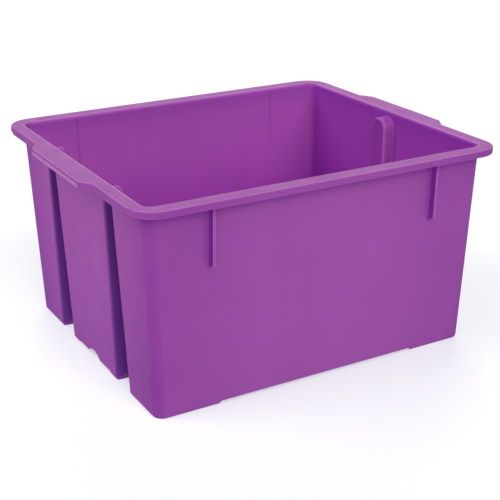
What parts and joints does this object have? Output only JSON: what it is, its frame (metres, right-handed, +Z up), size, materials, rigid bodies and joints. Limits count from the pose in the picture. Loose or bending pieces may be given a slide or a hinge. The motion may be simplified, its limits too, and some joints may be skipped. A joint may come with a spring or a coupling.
{
  "type": "storage bin",
  "caption": "Open-topped moulded storage bin with a turned-down rim, end handles, and arched columns and grooves that let like bins stack one way round and nest the other.",
  "frame": {"origin": "centre of the bin in plan, at the height of the feet's undersides", "axes": "+Z up, X along the bin from the end with two columns (-X) to the end with one (+X), Y across it, with the front at -Y"},
  "size_m": [0.61, 0.508, 0.312],
  "materials": {
    "moulded_plastic": "satin injection-moulded plastic, coloured through in purple"
  },
  "bodies": {
    "root": {"back_left_rib": "moulded_plastic", "back_right_rib": "moulded_plastic", "back_wall": "moulded_plastic", "floor_panel": "moulded_plastic", "front_left_rib": "moulded_plastic", "front_right_rib": "moulded_plastic", "front_wall": "moulded_plastic", "left_back_corner": "moulded_plastic", "left_end_front_panel": "moulded_plastic", "left_end_middle_panel": "moulded_plastic", "left_end_rear_panel": "moulded_plastic", "left_front_column": "moulded_plastic", "left_front_corner": "moulded_plastic", "left_front_foot": "moulded_plastic", "left_handle": "moulded_plastic", "left_middle_front_foot": "moulded_plastic", "left_middle_rear_foot": "moulded_plastic", "left_rear_column": "moulded_plastic", "left_rear_foot": "moulded_plastic", "left_stack_seat": "moulded_plastic", "right_back_corner": "moulded_plastic", "right_column": "moulded_plastic", "right_end_front_panel": "moulded_plastic", "right_end_rear_panel": "moulded_plastic", "right_front_corner": "moulded_plastic", "right_front_foot": "moulded_plastic", "right_front_stack_seat": "moulded_plastic", "right_handle": "moulded_plastic", "right_rear_foot": "moulded_plastic", "right_rear_stack_seat": "moulded_plastic", "rim_back": "moulded_plastic", "rim_front": "moulded_plastic", "rim_left_back_run": "moulded_plastic", "rim_left_front_run": "moulded_plastic", "rim_right_back_run": "moulded_plastic", "rim_right_front_run": "moulded_plastic"}
  },
  "joints": []
}
